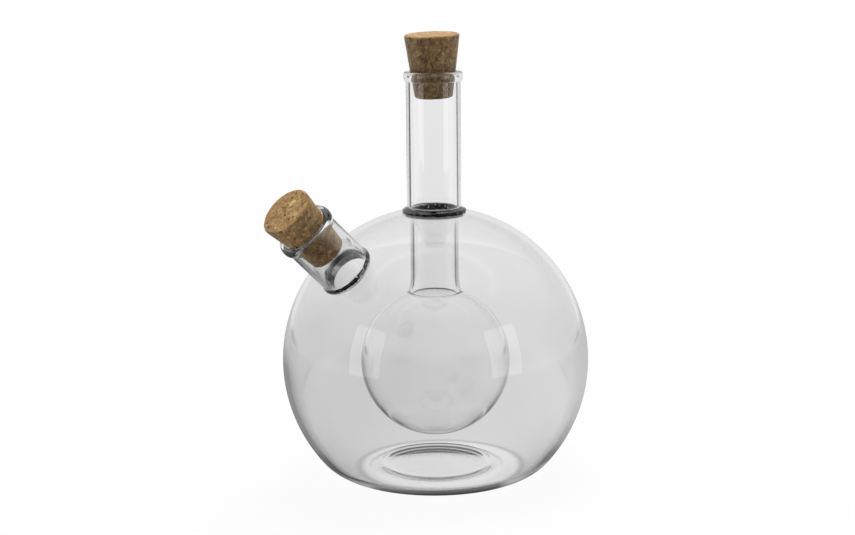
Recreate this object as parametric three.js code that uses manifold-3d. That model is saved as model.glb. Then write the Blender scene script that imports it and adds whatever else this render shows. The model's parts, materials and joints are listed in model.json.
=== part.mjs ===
// A round two-in-one bottle for oil and vinegar, in millimetres.
// +Z points up the neck, and the origin is the middle of the foot, on the table.
// The globe holds one liquid and pours from a slanted spout. A bulb hangs inside the globe on a stem, holds
// the other liquid and pours from the neck. A tapered cork closes each mouth.
import * as THREE from "three";
import { mergeVertices } from "three/addons/utils/BufferGeometryUtils.js";
import Module from "manifold-3d";

// Globe and its base
const GLOBE_RADIUS = 65;
const GLOBE_WALL = 2;
const BASE_FLATTENING = 15.8; // how far the table plane cuts into the globe's sphere
const HEEL_RADIUS = 20.5; // round between the globe's side and its foot
const FOOT_WIDTH = 4; // flat ring that stands on the table
const PUNT_SLOPE_WIDTH = 8; // from the foot ring in to the raised middle of the base
const PUNT_HEIGHT = 1.7;
const PUNT_CROWN = 1.3; // further rise at the very middle
const BED_INSET = 1; // from the foot ring's inner edge in to where the inside starts to rise
const BED_SLOPE_WIDTH = 6; // from there in to the raised bed
const BED_HEIGHT = 2;
const BED_CROWN = 0.2;
const DOME_POWER = 2.5; // how flat the middle of the base is

// Neck and spout, drawn from one kind of tube
const TUBE_RADIUS = 11.4;
const TUBE_WALL = 1.7;
const NECK_LENGTH = 57.2; // from the globe's sphere to the rim
const SPOUT_LENGTH = 27.1; // from the globe's sphere to the rim
const SPOUT_TILT = 46.3; // degrees from the neck down to the spout
const SPOUT_BEARING = 225; // degrees round the neck, from +X towards +Y
const LIP_STANDOUT = 1.1;
const LIP_HEIGHT = 4.2;
const MOUTH_CHAMFER = 0.6;

// Bulb and the stem that it hangs on
const BULB_CLEARANCE = 31.3; // liquid space between the bulb and the globe's inner wall
const BULB_DROP = 0.9; // the bulb's centre below the globe's centre
const BULB_WALL = 1;
const STEM_INSET = 1.25; // the stem's outside is this much slimmer than the neck's
const STEM_WALL = 1.65;
const STEM_FLARE = 0.9; // spread of the stem where it meets the bulb
const STEM_FLARE_LENGTH = 8;

// Weld collars between the tubes and the globe
const COLLAR_FLARE = 2; // spread beyond the tube where the collar lies on the globe
const COLLAR_LIP = 0.8; // thickness of the collar's outer edge
const COLLAR_RISE = 0.6; // height of the collar above the globe's sphere
const COLLAR_DEPTH = 1; // reach of the collar below the globe's inner wall
const SPIGOT_STEP = 0.3; // the collar's plug in the globe is this much wider than the tube
const WELD_GAP = 0.3; // clearance between glass sections

// Corks: tapered, wider than the bore at the top, slimmer at the bottom and pushed in past their natural seat
const CORK_GAP = 0.3; // clearance between a cork and the mouth that it closes
const CORK_EDGE = 0.9; // worn round of the top and bottom edges
const NECK_CORK = { length: 26.2, oversize: 1.75, undersize: 1.65, push: 0.4 };
const SPOUT_CORK = { length: 26.8, oversize: 1.4, undersize: 1.7, push: 3.2 };
const NECK_CORK_LEAN = 2.9; // degrees, as pushed in by hand
const NECK_CORK_LEAN_BEARING = 246; // degrees round the neck, from +X towards +Y

// Fineness of the round shapes
const GLOBE_SIDES = 48;
const BULB_SIDES = 40;
const TUBE_SIDES = 32;
const SPHERE_STEPS = 14;
const ARC_STEPS = 5;
const CORNER_STEPS = 2;
const MERGE_DISTANCE = 1e-3; // corners closer than this are one corner

// Derived sizes
const GLOBE_CENTRE = GLOBE_RADIUS - BASE_FLATTENING;
const GLOBE_BORE = GLOBE_RADIUS - GLOBE_WALL;
const FOOT_RADIUS = Math.sqrt(BASE_FLATTENING * (2 * GLOBE_RADIUS - BASE_FLATTENING - 2 * HEEL_RADIUS));
const TUBE_BORE = TUBE_RADIUS - TUBE_WALL;
const COLLAR_RADIUS = TUBE_RADIUS + COLLAR_FLARE;
const COLLAR_TOP = GLOBE_RADIUS + COLLAR_RISE;
const SPIGOT_RADIUS = TUBE_RADIUS + SPIGOT_STEP;
const HOLE_RADIUS = SPIGOT_RADIUS + WELD_GAP;
const COLLAR_BOTTOM = sphereHeight(GLOBE_BORE, SPIGOT_RADIUS) - COLLAR_DEPTH;
const STEM_RADIUS = TUBE_RADIUS - STEM_INSET;
const STEM_BORE = STEM_RADIUS - STEM_WALL;
const BULB_RADIUS = GLOBE_BORE - BULB_CLEARANCE;
const BULB_RIM_RADIUS = STEM_RADIUS + STEM_FLARE;
const BULB_MOUTH = STEM_BORE + STEM_FLARE;
const BULB_RIM = sphereHeight(BULB_RADIUS, BULB_RIM_RADIUS) - BULB_DROP;

const GLASS = new THREE.MeshStandardMaterial({
  color: 0xdde0e0,
  roughness: 0.04,
  metalness: 0,
  transparent: true,
  opacity: 0.35,
});
const CORK = new THREE.MeshStandardMaterial({ color: 0x8c6b45, roughness: 0.9, metalness: 0 });

const wasm = await Module();
wasm.setup();

// Height of a sphere above its own centre, at a distance from the upright axis.
function sphereHeight(radius, distance) {
  return Math.sqrt(radius ** 2 - distance ** 2);
}

function point(radius, height) {
  return new THREE.Vector2(radius, height);
}

// Points of an arc in a profile, with its angles measured from the outward direction.
function arc(centre, radius, from, to, steps) {
  const clockwise = to < from;
  return new THREE.EllipseCurve(centre.x, centre.y, radius, radius, from, to, clockwise).getPoints(steps);
}

// A solid of revolution about +Z.
function turned(profile, sides) {
  return new THREE.LatheGeometry(profile, sides).rotateX(Math.PI / 2);
}

// A ring of revolution, whose profile closes on itself.
function turnedRing(profile, sides) {
  return turned([...profile, profile[0]], sides);
}

function solid(geometry) {
  const bare = geometry.clone();
  bare.deleteAttribute("normal");
  bare.deleteAttribute("uv");
  const merged = mergeVertices(bare, MERGE_DISTANCE);
  const vertProperties = merged.attributes.position.array;
  const triVerts = new Uint32Array(merged.index.array);
  return new wasm.Manifold(new wasm.Mesh({ numProp: 3, vertProperties, triVerts }));
}

function geometryOf(manifold) {
  const mesh = manifold.getMesh();
  const geometry = new THREE.BufferGeometry();
  geometry.setAttribute("position", new THREE.BufferAttribute(mesh.vertProperties, 3));
  geometry.setIndex(new THREE.BufferAttribute(mesh.triVerts, 1));
  geometry.computeVertexNormals();
  return geometry;
}

function piece(name, geometry, material) {
  const mesh = new THREE.Mesh(geometry, material);
  mesh.name = name;
  return mesh;
}

// The globe's side and heel from its neck hole down to the foot, at a depth inside the outer face.
function globeSide(depth) {
  const radius = GLOBE_RADIUS - depth;
  const centre = point(0, GLOBE_CENTRE);
  const heel = point(FOOT_RADIUS, HEEL_RADIUS);
  const top = Math.acos(HOLE_RADIUS / radius);
  const junction = Math.atan2(heel.y - centre.y, heel.x);
  const side = arc(centre, radius, top, junction, SPHERE_STEPS);
  const round = arc(heel, HEEL_RADIUS - depth, junction, -Math.PI / 2, ARC_STEPS);
  return [...side, ...round.slice(1)];
}

// One face of the base from an edge in to the axis: a step up, then a shallow dome.
function baseFace(edge, width, height, crown, floor) {
  const step = [];
  const dome = [];
  const rim = edge - width;
  for (let i = 0; i <= ARC_STEPS; i++) {
    const share = i / ARC_STEPS;
    const rise = (height * (1 - Math.cos(Math.PI * share))) / 2;
    const lift = crown * (1 - (1 - share) ** DOME_POWER);
    step.push(point(edge - width * share, floor + rise));
    dome.push(point(rim * (1 - share), floor + height + lift));
  }
  return [...step, ...dome.slice(1)];
}

// The hollow under the base, from the foot ring's inner edge to the axis.
function punt() {
  return baseFace(FOOT_RADIUS - FOOT_WIDTH, PUNT_SLOPE_WIDTH, PUNT_HEIGHT, PUNT_CROWN, 0);
}

// The base's inside. It is flatter than the hollow, so the base thins towards its middle.
function bed() {
  const edge = FOOT_RADIUS - FOOT_WIDTH - BED_INSET;
  return baseFace(edge, BED_SLOPE_WIDTH, BED_HEIGHT, BED_CROWN, GLOBE_WALL);
}

// Turns the spout's own upright axis into its slanted direction.
function spoutTurn() {
  const tilt = THREE.MathUtils.degToRad(SPOUT_TILT);
  const bearing = THREE.MathUtils.degToRad(SPOUT_BEARING);
  return new THREE.Euler(0, tilt, bearing, "ZYX");
}

// Globe: an outer and an inner skin joined round the neck hole, with a second hole cut for the spout.
function globe() {
  const outer = [...globeSide(0), ...punt()];
  const inner = [...globeSide(GLOBE_WALL), ...bed()];
  const shell = turned([...outer.reverse(), ...inner], GLOBE_SIDES);
  const drill = new THREE.CylinderGeometry(HOLE_RADIUS, HOLE_RADIUS, GLOBE_RADIUS, TUBE_SIDES);
  const place = new THREE.Matrix4().makeRotationFromEuler(spoutTurn());
  place.setPosition(0, 0, GLOBE_CENTRE);
  drill.rotateX(Math.PI / 2).translate(0, 0, GLOBE_RADIUS).applyMatrix4(place);
  return geometryOf(solid(shell).subtract(solid(drill)));
}

// Bulb, about the globe's centre: a sphere with a flat rim that meets the stem.
function bulb() {
  const centre = point(0, -BULB_DROP);
  const cavity = BULB_RADIUS - BULB_WALL;
  const rim = Math.acos(BULB_RIM_RADIUS / BULB_RADIUS);
  const mouth = Math.acos(BULB_MOUTH / cavity);
  const outer = arc(centre, BULB_RADIUS, -Math.PI / 2, rim, SPHERE_STEPS);
  const inner = arc(centre, cavity, mouth, -Math.PI / 2, SPHERE_STEPS);
  return turned([...outer, point(BULB_MOUTH, BULB_RIM), ...inner], BULB_SIDES);
}

// One face of the stem's flared end, from the bulb's rim up to the straight tube.
function stemFlare(radius, bottom) {
  const spread = point(radius + STEM_FLARE, bottom);
  const waist = point(radius, bottom + STEM_FLARE_LENGTH / 2);
  const straight = point(radius, bottom + STEM_FLARE_LENGTH);
  return new THREE.QuadraticBezierCurve(spread, waist, straight).getPoints(ARC_STEPS);
}

// Stem, from the bulb's rim up to the neck's weld collar.
function stem() {
  const bottom = BULB_RIM + WELD_GAP;
  const top = COLLAR_BOTTOM - WELD_GAP;
  const profile = [
    ...stemFlare(STEM_RADIUS, bottom),
    point(STEM_RADIUS, top),
    point(STEM_BORE, top),
    ...stemFlare(STEM_BORE, bottom).reverse(),
  ];
  return turnedRing(profile, TUBE_SIDES);
}

// Weld collar: a plug in the globe's hole, with a skirt that lies on the globe and slopes up to the tube.
// Its bore narrows on the way in.
function weldCollar() {
  const seat = GLOBE_RADIUS + WELD_GAP;
  const edge = sphereHeight(seat, COLLAR_RADIUS);
  const profile = [
    point(STEM_BORE, COLLAR_BOTTOM),
    point(SPIGOT_RADIUS, COLLAR_BOTTOM),
    point(SPIGOT_RADIUS, sphereHeight(seat, SPIGOT_RADIUS)),
    point(COLLAR_RADIUS, edge),
    point(COLLAR_RADIUS, edge + COLLAR_LIP),
    point(TUBE_RADIUS, COLLAR_TOP),
    point(TUBE_BORE, COLLAR_TOP),
  ];
  return turnedRing(profile, TUBE_SIDES);
}

// Tube with a rolled lip, from its weld collar up to a rim at a distance from the globe's centre.
function lippedTube(rim) {
  const bottom = COLLAR_TOP + WELD_GAP;
  const middle = rim - LIP_HEIGHT / 2;
  const quarter = Math.PI / 2;
  const lip = new THREE.EllipseCurve(TUBE_RADIUS, middle, LIP_STANDOUT, LIP_HEIGHT / 2, -quarter, quarter);
  const profile = [
    point(TUBE_BORE, bottom),
    point(TUBE_RADIUS, bottom),
    ...lip.getPoints(2 * CORNER_STEPS),
    point(TUBE_BORE + MOUTH_CHAMFER, rim),
    point(TUBE_BORE, rim - MOUTH_CHAMFER),
  ];
  return turnedRing(profile, TUBE_SIDES);
}

// Cork, about the mouth's rim: the mouth squeezes it straight over the depth that it is pushed in.
function cork({ length, oversize, undersize, push }) {
  const taper = (oversize + undersize) / length;
  const seat = TUBE_BORE - CORK_GAP;
  const bottom = -push - (undersize - CORK_GAP) / taper;
  const top = bottom + length;
  const slim = TUBE_BORE - undersize;
  const wide = TUBE_BORE + oversize;
  const quarter = Math.PI / 2;
  const profile = [
    point(0, bottom),
    ...arc(point(slim - CORK_EDGE, bottom + CORK_EDGE), CORK_EDGE, -quarter, 0, CORNER_STEPS),
    point(seat, -push),
    point(seat, CORK_GAP),
    point(seat + taper * (push + CORK_GAP), CORK_GAP),
    ...arc(point(wide - CORK_EDGE, top - CORK_EDGE), CORK_EDGE, 0, quarter, CORNER_STEPS),
    point(0, top),
  ];
  return turned(profile, TUBE_SIDES);
}

// Pieces about the neck's axis, measured from the globe's centre.
const neck = new THREE.Group();
const neckRim = GLOBE_RADIUS + NECK_LENGTH;
neck.position.z = GLOBE_CENTRE;
neck.add(piece("inner_bulb", bulb(), GLASS));
neck.add(piece("inner_stem", stem(), GLASS));
neck.add(piece("neck_ring_seal", weldCollar(), GLASS));
neck.add(piece("neck_tube", lippedTube(neckRim), GLASS));
const neckCork = piece("neck_cork", cork(NECK_CORK), CORK);
const leanBearing = THREE.MathUtils.degToRad(NECK_CORK_LEAN_BEARING);
const leanAxis = new THREE.Vector3(-Math.sin(leanBearing), Math.cos(leanBearing), 0);
neckCork.position.z = neckRim;
neckCork.rotateOnAxis(leanAxis, THREE.MathUtils.degToRad(NECK_CORK_LEAN));
neck.add(neckCork);

// Pieces about the spout's axis, measured from the globe's centre.
const spout = new THREE.Group();
const spoutRim = GLOBE_RADIUS + SPOUT_LENGTH;
spout.position.z = GLOBE_CENTRE;
spout.rotation.copy(spoutTurn());
spout.add(piece("spout_ring_seal", weldCollar(), GLASS));
spout.add(piece("spout_tube", lippedTube(spoutRim), GLASS));
const spoutCork = piece("spout_cork", cork(SPOUT_CORK), CORK);
spoutCork.position.z = spoutRim;
spout.add(spoutCork);

const bottle = new THREE.Group();
bottle.add(piece("outer_globe", globe(), GLASS), neck, spout);

export default bottle;
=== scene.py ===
"""Looks of a round two-in-one bottle for oil and vinegar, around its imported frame, in metres."""

import json
import math
from types import SimpleNamespace

import bmesh
import bpy
from bpy.props import FloatProperty, FloatVectorProperty, PointerProperty
from bpy.types import Operator, Panel, PropertyGroup
from mathutils import Matrix, Vector, noise


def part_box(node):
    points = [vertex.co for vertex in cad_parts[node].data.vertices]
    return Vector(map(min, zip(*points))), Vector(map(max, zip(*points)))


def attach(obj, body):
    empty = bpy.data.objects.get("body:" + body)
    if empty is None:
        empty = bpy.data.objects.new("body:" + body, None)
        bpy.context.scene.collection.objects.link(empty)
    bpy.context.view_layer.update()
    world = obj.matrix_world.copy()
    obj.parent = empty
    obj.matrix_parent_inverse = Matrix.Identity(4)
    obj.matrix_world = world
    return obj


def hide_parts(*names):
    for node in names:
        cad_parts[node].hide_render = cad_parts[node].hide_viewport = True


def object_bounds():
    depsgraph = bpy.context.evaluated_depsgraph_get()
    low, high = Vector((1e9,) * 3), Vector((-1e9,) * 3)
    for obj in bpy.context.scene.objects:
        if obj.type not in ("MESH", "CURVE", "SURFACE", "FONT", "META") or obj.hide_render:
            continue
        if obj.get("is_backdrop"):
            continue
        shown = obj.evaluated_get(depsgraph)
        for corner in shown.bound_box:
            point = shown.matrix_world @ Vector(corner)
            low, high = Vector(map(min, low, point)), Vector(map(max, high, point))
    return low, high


bl_info = {
    "name": "Oil and vinegar bottle",
    "version": (1, 0, 0),
    "blender": (4, 5, 0),
    "location": "View3D > Sidebar > Bottle",
    "description": "Adds a round two-in-one glass bottle, its two corks and a plain studio",
    "category": "Add Mesh",
}

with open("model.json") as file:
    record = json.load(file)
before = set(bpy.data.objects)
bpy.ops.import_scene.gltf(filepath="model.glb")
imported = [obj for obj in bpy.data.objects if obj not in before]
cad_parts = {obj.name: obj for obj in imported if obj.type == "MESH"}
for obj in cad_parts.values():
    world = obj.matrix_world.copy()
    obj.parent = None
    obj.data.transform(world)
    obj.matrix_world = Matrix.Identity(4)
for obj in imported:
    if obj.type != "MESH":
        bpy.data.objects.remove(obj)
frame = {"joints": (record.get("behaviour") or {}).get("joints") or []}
CAD_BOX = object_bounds()

MM = 0.001
QUARTER = math.pi / 2
MERGE_DISTANCE = 1e-6
SHARP_EDGE = math.radians(38)


# Settings that a user would change

def length(name, description, millimetres):
    """A length setting whose default is written in millimetres."""
    return FloatProperty(
        name=name, description=description, default=millimetres * MM, unit="LENGTH", precision=5
    )


def angle(name, description, degrees):
    """An angle setting whose default is written in degrees."""
    return FloatProperty(
        name=name, description=description, default=math.radians(degrees), subtype="ANGLE"
    )


def share(name, description, default):
    """A plain number, such as a brightness or a share."""
    return FloatProperty(name=name, description=description, default=default)


def colour(name, description, default):
    """A linear colour setting."""
    return FloatVectorProperty(
        name=name, description=description, default=default, subtype="COLOR", min=0, max=1
    )


class GlobeSizes(PropertyGroup):
    """Sizes of the outer globe and its base."""

    radius: length("Radius", "Outer radius of the globe's sphere", 65)
    wall: length("Wall", "Thickness of the globe's glass", 2)
    centre: length("Centre height", "Height of the globe's centre above the table", 49.2)
    heel: length("Heel", "Radius of the round between the side and the foot", 20.5)
    foot_width: length("Foot width", "Width of the flat ring that stands on the table", 4)
    punt_width: length("Punt slope", "From the foot ring in to the hollow under the base", 8)
    punt_height: length("Punt height", "Rise of the hollow's edge above the foot", 1.7)
    punt_crown: length("Punt crown", "Further rise of the hollow at its middle", 1.3)
    bed_inset: length("Bed inset", "From the hollow's edge in to the start of the inside's rise", 1)
    bed_width: length("Bed slope", "From there in to the raised bed inside", 6)
    bed_height: length("Bed height", "Rise of the bed above the trough round it", 2)
    bed_crown: length("Bed crown", "Further rise of the bed at its middle", 0.2)


class BulbSizes(PropertyGroup):
    """Sizes of the bulb inside the globe and of the stem that it hangs on."""

    radius: length("Radius", "Outer radius of the bulb", 31.7)
    wall: length("Wall", "Thickness of the bulb's glass", 1)
    drop: length("Drop", "The bulb's centre below the globe's centre", 0.9)
    stem_radius: length("Stem radius", "Outer radius of the stem", 10.15)
    stem_wall: length("Stem wall", "Thickness of the stem's glass", 1.65)
    flare: length("Flare", "Spread of the stem where it meets the bulb", 0.9)
    flare_length: length("Flare length", "Height over which the stem spreads", 8)


class TubeSizes(PropertyGroup):
    """Sizes of the neck, the spout and the collars that weld them to the globe."""

    radius: length("Radius", "Outer radius of the neck and of the spout", 11.4)
    wall: length("Wall", "Thickness of their glass", 1.7)
    spout_rim: length("Spout rim", "From the globe's centre out to the spout's rim", 92.1)
    lip_standout: length("Lip", "How far the rolled lip stands out", 1.1)
    lip_height: length("Lip height", "Height of the rolled lip", 4.2)
    mouth_round: length("Mouth round", "Round of the lip's inner edge", 0.6)
    collar_flare: length("Collar flare", "Spread of a weld collar beyond its tube", 2)
    collar_lip: length("Collar lip", "Thickness of a collar's outer edge", 0.8)
    collar_rise: length("Collar rise", "Height of a collar above the globe's sphere", 0.6)
    collar_depth: length("Collar depth", "Reach of a collar below the globe's inner wall", 1)
    collar_round: length("Collar round", "Round of a collar's edges", 0.3)
    hole: length("Hole", "Radius of the globe's hole under the neck", 12)
    sleeve: length("Sleeve", "Radius at which the globe's glass starts to rise to the spout", 12.2)
    sleeve_edge: length("Sleeve edge", "Thickness of the risen glass at its top", 0.08)
    throat: length("Throat", "Radius of the narrow opening under the spout", 8.3)
    throat_height: length("Throat height", "Height over which the spout's bore narrows to it", 4.2)
    throat_round: length("Throat round", "Round of the throat's lower edge", 0.5)
    overlap: length("Overlap", "How far welded sections run into each other", 0.02)


class CorkSizes(PropertyGroup):
    """Sizes of the two tapered corks and of their grain."""

    neck_length: length("Neck cork", "Length of the neck's cork", 26.2)
    neck_wide: length("Neck cork top", "Radius of its top", 11.45)
    neck_slim: length("Neck cork end", "Radius of its lower end", 8.05)
    neck_push: length("Neck cork push", "How far it is pushed in past its natural seat", 0.4)
    neck_lean: angle("Lean", "Lean of the neck's cork, as pushed in by hand", 2.9)
    neck_lean_bearing: angle("Lean bearing", "Direction of that lean, from +X towards +Y", 246)
    spout_length: length("Spout cork", "Length of the spout's cork", 26.8)
    spout_wide: length("Spout cork top", "Radius of its top", 11.1)
    spout_slim: length("Spout cork end", "Radius of its lower end", 8)
    spout_push: length("Spout cork push", "How far it is pushed in past its natural seat", 3.2)
    gap: length("Gap", "Clearance between a cork and the mouth that it closes", 0.3)
    edge: length("Edge", "Worn round of the top and bottom edges", 0.9)
    granule: length("Granule", "Size of one cork granule", 1.2)
    relief: length("Relief", "How far granules stand proud or sunk", 0.1)
    pit: length("Pit", "Depth of a pit where a granule has come out", 0.55)
    fineness: length("Fineness", "Spacing of the cork's surface points", 0.34)
    chip_length: length("Chip", "Length of the pale chip in the top of the spout's cork", 3)
    chip_width: length("Chip width", "Width of that chip", 1.9)


class GlassFinish(PropertyGroup):
    """The glass and how much light a metre of it takes up."""

    index: share("Index", "Refractive index of the glass", 1.47)
    tint: colour("Tint", "Colour of light that has gone through thick glass", (0.3, 0.33, 0.32))
    # Colour of the painted shade on the welds, which stands in for the dark that their thick glass
    # shows
    fused: colour("Fused", "Colour of glass that the torch has left dark", (0.02, 0.024, 0.022))
    globe: share("Globe", "Uptake of the globe, per metre", 20)
    bulb: share("Bulb", "Uptake of the thin bulb and its stem, per metre", 6)
    tube: share("Tube", "Uptake of the neck and the spout, per metre", 18)
    weld: share("Weld", "Uptake of the thick weld collars, per metre", 40)
    passed: share("Passed", "Light that one face of glass lets through into a shadow", 0.96)
    wave_depth: length("Waviness", "Depth of the faint waves left by hand blowing", 0.02)


class CorkFinish(PropertyGroup):
    """Colours of the agglomerated cork."""

    dark: colour("Dark grain", "Colour of the darkest granules", (0.1, 0.042, 0.008))
    middle: colour("Middle grain", "Colour of most granules", (0.335, 0.18, 0.042))
    light: colour("Light grain", "Colour of the palest granules", (0.62, 0.41, 0.165))
    # Colour of the painted shade in pits and in the seams between granules
    pit: colour("Pit", "Colour inside the pits and between granules", (0.06, 0.03, 0.012))


class StudioSettings(PropertyGroup):
    """The camera, the lamps and the floor."""

    lens: share("Lens", "Focal length of the camera in millimetres", 73.5)
    bearing: angle("Bearing", "Turn of the camera round the bottle", 6.6)
    distance: length("Distance", "Level distance from the bottle's axis to the camera", 725.2)
    height: length("Height", "Height of the camera above the table", 230.4)
    pitch: angle("Pitch", "How far the camera looks down", 11.067)
    pan: angle("Pan", "How far the camera looks past the axis", 0.24)
    roll: angle("Roll", "Tilt of the picture", -0.557)
    floor_radius: length("Floor", "Radius of the floor", 700)
    top_watts: share("Top lamp", "Power of the lamp overhead in watts", 12)
    side_watts: share("Side lamps", "Power of each softbox in watts", 1.5)
    ambient: share("Ambient", "Brightness of the room for matt surfaces", 0.11)


GROUPS = {
    "bottle_globe": GlobeSizes,
    "bottle_bulb": BulbSizes,
    "bottle_tube": TubeSizes,
    "bottle_cork": CorkSizes,
    "bottle_glass_finish": GlassFinish,
    "bottle_cork_finish": CorkFinish,
    "bottle_studio": StudioSettings,
}


# Shapes

def sphere_height(radius, distance):
    """Height of a sphere above its centre, at a distance from the upright axis."""
    return math.sqrt(radius**2 - distance**2)


def point(radius, height):
    """One point of a profile."""
    return Vector((radius, height))


def ellipse(centre, width, height, start, end, steps):
    """Points of an ellipse in a profile, with its angles measured from the outward direction."""
    turns = [start + (end - start) * i / steps for i in range(steps + 1)]
    return [centre + point(width * math.cos(t), height * math.sin(t)) for t in turns]


def arc(centre, radius, start, end, steps):
    """Points of a round arc in a profile."""
    return ellipse(centre, radius, radius, start, end, steps)


def rise(value):
    """The value kept between 0 and 1."""
    return min(1, max(0, value))


def curve(start, control, end, steps):
    """Points of a curve that leaves start and meets end towards one control point."""
    shares = [i / steps for i in range(steps + 1)]
    return [start.lerp(control, t).lerp(control.lerp(end, t), t) for t in shares]


def fine(profile, step):
    """The same profile with its points no further apart than a step."""
    points = [profile[0]]
    for start, end in zip(profile, profile[1:]):
        count = max(1, round((end - start).length / step))
        points += [start.lerp(end, i / count) for i in range(1, count + 1)]
    return points


def spun(profile, segments, ring=False):
    """A solid of revolution about +Z. A ring's profile closes on itself, others end on the axis."""
    bm = bmesh.new()
    corners = [bm.verts.new((p.x, 0, p.y)) for p in profile]
    sides = [bm.edges.new(pair) for pair in zip(corners, corners[1:])]
    if ring:
        sides.append(bm.edges.new((corners[-1], corners[0])))
    whole_turn = {"cent": (0, 0, 0), "axis": (0, 0, 1), "angle": math.tau, "use_merge": True}
    bmesh.ops.spin(bm, geom=corners + sides, steps=segments, **whole_turn)
    bmesh.ops.remove_doubles(bm, verts=bm.verts, dist=MERGE_DISTANCE)
    bmesh.ops.recalc_face_normals(bm, faces=bm.faces)
    return bm


def rounded(bm, radius, height, offset, segments):
    """Bevels the ring of edges at one radius and height."""
    def on_ring(vertex):
        reach = math.hypot(vertex.co.x, vertex.co.y)
        return abs(reach - radius) < MERGE_DISTANCE and abs(vertex.co.z - height) < MERGE_DISTANCE

    ring = [e for e in bm.edges if all(on_ring(v) for v in e.verts)]
    bevel = {"profile": 0.5, "affect": "EDGES", "material": -1, "clamp_overlap": True}
    bmesh.ops.bevel(bm, geom=ring, offset=offset, segments=segments, **bevel)


def add_piece(name, bm, place, finish, body, node):
    """Makes the shape an object of the bottle that stands for a CAD node."""
    bmesh.ops.transform(bm, matrix=place, verts=bm.verts)
    mesh = bpy.data.meshes.new(name)
    bm.to_mesh(mesh)
    bm.free()
    mesh.shade_smooth()
    mesh.set_sharp_from_angle(angle=SHARP_EDGE)
    mesh.materials.append(finish)
    made = bpy.data.objects.new(name, mesh)
    bpy.context.scene.collection.objects.link(made)
    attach(made, body)
    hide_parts(node)


def layout(scene):
    """Sizes and places that several pieces share, worked out from the settings and the frame."""
    globe, bulb, tube = scene.bottle_globe, scene.bottle_bulb, scene.bottle_tube
    plan = SimpleNamespace()
    flat = globe.radius - globe.centre
    plan.foot = math.sqrt(flat * (2 * globe.radius - flat - 2 * globe.heel))
    plan.cavity = globe.radius - globe.wall
    plan.bore = tube.radius - tube.wall
    plan.spigot = tube.hole + tube.overlap
    plan.sleeve_bore = tube.radius - tube.overlap
    plan.collar_top = globe.radius + tube.collar_rise
    plan.collar_bottom = sphere_height(plan.cavity, plan.spigot) - tube.collar_depth
    plan.stem_bore = bulb.stem_radius - bulb.stem_wall
    plan.bulb_rim = sphere_height(bulb.radius, bulb.stem_radius + bulb.flare) - bulb.drop
    plan.neck_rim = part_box("neck_tube")[1].z - globe.centre
    plan.spout_rim = tube.spout_rim
    axis = next(j["axis"] for j in frame["joints"] if j["name"] == "spout_cork_pull")
    plan.spout_axis = Vector(axis).normalized()
    plan.neck = Matrix.Translation((0, 0, globe.centre))
    turn = Vector((0, 0, 1)).rotation_difference(plan.spout_axis)
    plan.spout_turn = turn.to_matrix().to_4x4()
    plan.spout = plan.neck @ plan.spout_turn
    return plan


# What glass shows of the room and the floor, with painted shade and shadow on the floor. To the
# camera both are plain white.

WHITE = (1, 1, 1, 1)

# Tones of the room in reflections, once round from behind the camera by its left
ROOM_TONES = [
    (0.0, 0.06), (0.14, 0.08), (0.24, 0.88), (0.5, 0.82), (0.76, 0.92), (0.86, 0.08),
    (1.0, 0.06),
]

# The sines of the heights between which the ceiling starts, which is higher up straight ahead
CEILING_TONE = 1.0
CEILING_START = (0.1, 0.35)
CEILING_LIFT = 0.3

# Two dark gaps low in that room, which tubes mirror along their edges, once round in the same way
GAP_TONES = [
    (0.0, 1.0), (0.352, 1.0), (0.363, 0.06), (0.396, 0.06), (0.408, 1.0), (0.59, 1.0),
    (0.611, 0.22), (0.637, 0.22), (0.65, 1.0), (1.0, 1.0),
]

# The sines of the heights between which the gaps end, and the distance where they do on the floor,
# where they are painted shade
GAP_END = (-0.09, -0.06)
FLOOR_GAP_START = (0.4, 0.46)

# What the bulb inside mirrors is duller, because it comes through the globe twice
INNER_TONE = 0.86

# Faces of glass in front of what tubes and the bulb mirror inside the globe
TUBE_FACES = 3
BULB_FACES = 4

# Painted shade on the floor close to the foot in reflections, once round from behind the camera by
# its left
FOOT_TONES = [
    (0.0, 0.11), (0.1, 0.12), (0.13, 0.6), (0.18, 0.6), (0.2, 0.4), (0.26, 0.35),
    (0.3, 1.0), (0.7, 1.0), (0.74, 0.35), (0.81, 0.25), (0.84, 0.55), (0.87, 0.55),
    (0.895, 0.14), (1.0, 0.11),
]

# The distances between which those tones turn into their edge's tone and then into the room's tones
FOOT_EDGE_TONE = 0.5
FOOT_EDGE = (0.043, 0.0448)
FOOT_END = (0.0455, 0.048)

# The middle of the painted shade round the foot on the floor, a little off the bottle's axis
FOOT_PLACE = (0.002, 0.0005, 0)

# Tones of the floor seen through the glass, by the distance from the foot's middle in metres:
# painted shade, with a painted shadow ring round the foot
FLOOR_TONES = [
    (0.0, 0.85), (0.017, 0.87), (0.023, 1.0), (0.033, 1.0), (0.0344, 0.5), (0.0355, 0.5),
    (0.037, 0.76), (0.08, 0.75), (0.2, 0.72), (0.32, 0.745), (0.42, 0.8), (0.6, 0.85),
    (0.7, 0.84),
]

# The same floor has painted shade to the left, by the distance from the axis, and less so far from
# the foot
SIDE_TONES = [(-0.08, 0.84), (-0.03, 0.9), (0.01, 0.98), (0.05, 1.0)]
SIDE_FADE = (0.25, 0.65)

# Tones of the backdrop seen through the glass, by the sine of its height above the horizon
BACKDROP_TONES = [
    (-0.17, 0.84), (-0.158, 0.91), (-0.142, 0.93), (-0.134, 0.94), (-0.12, 0.87),
    (-0.05, 0.85),
]

# Tones of the floor in reflections, by the same distance: painted shade, dark under the foot and
# round the heel
MIRRORED_FLOOR_TONES = [
    (0.0, 0.8), (0.021, 0.7), (0.0277, 0.12), (0.038, 0.2), (0.0395, 1.0), (0.0455, 1.0),
    (0.048, 0.25), (0.057, 0.27), (0.063, 0.42), (0.069, 0.48), (0.092, 0.62),
    (0.125, 0.68), (0.45, 0.68), (0.7, 0.85),
]
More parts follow.
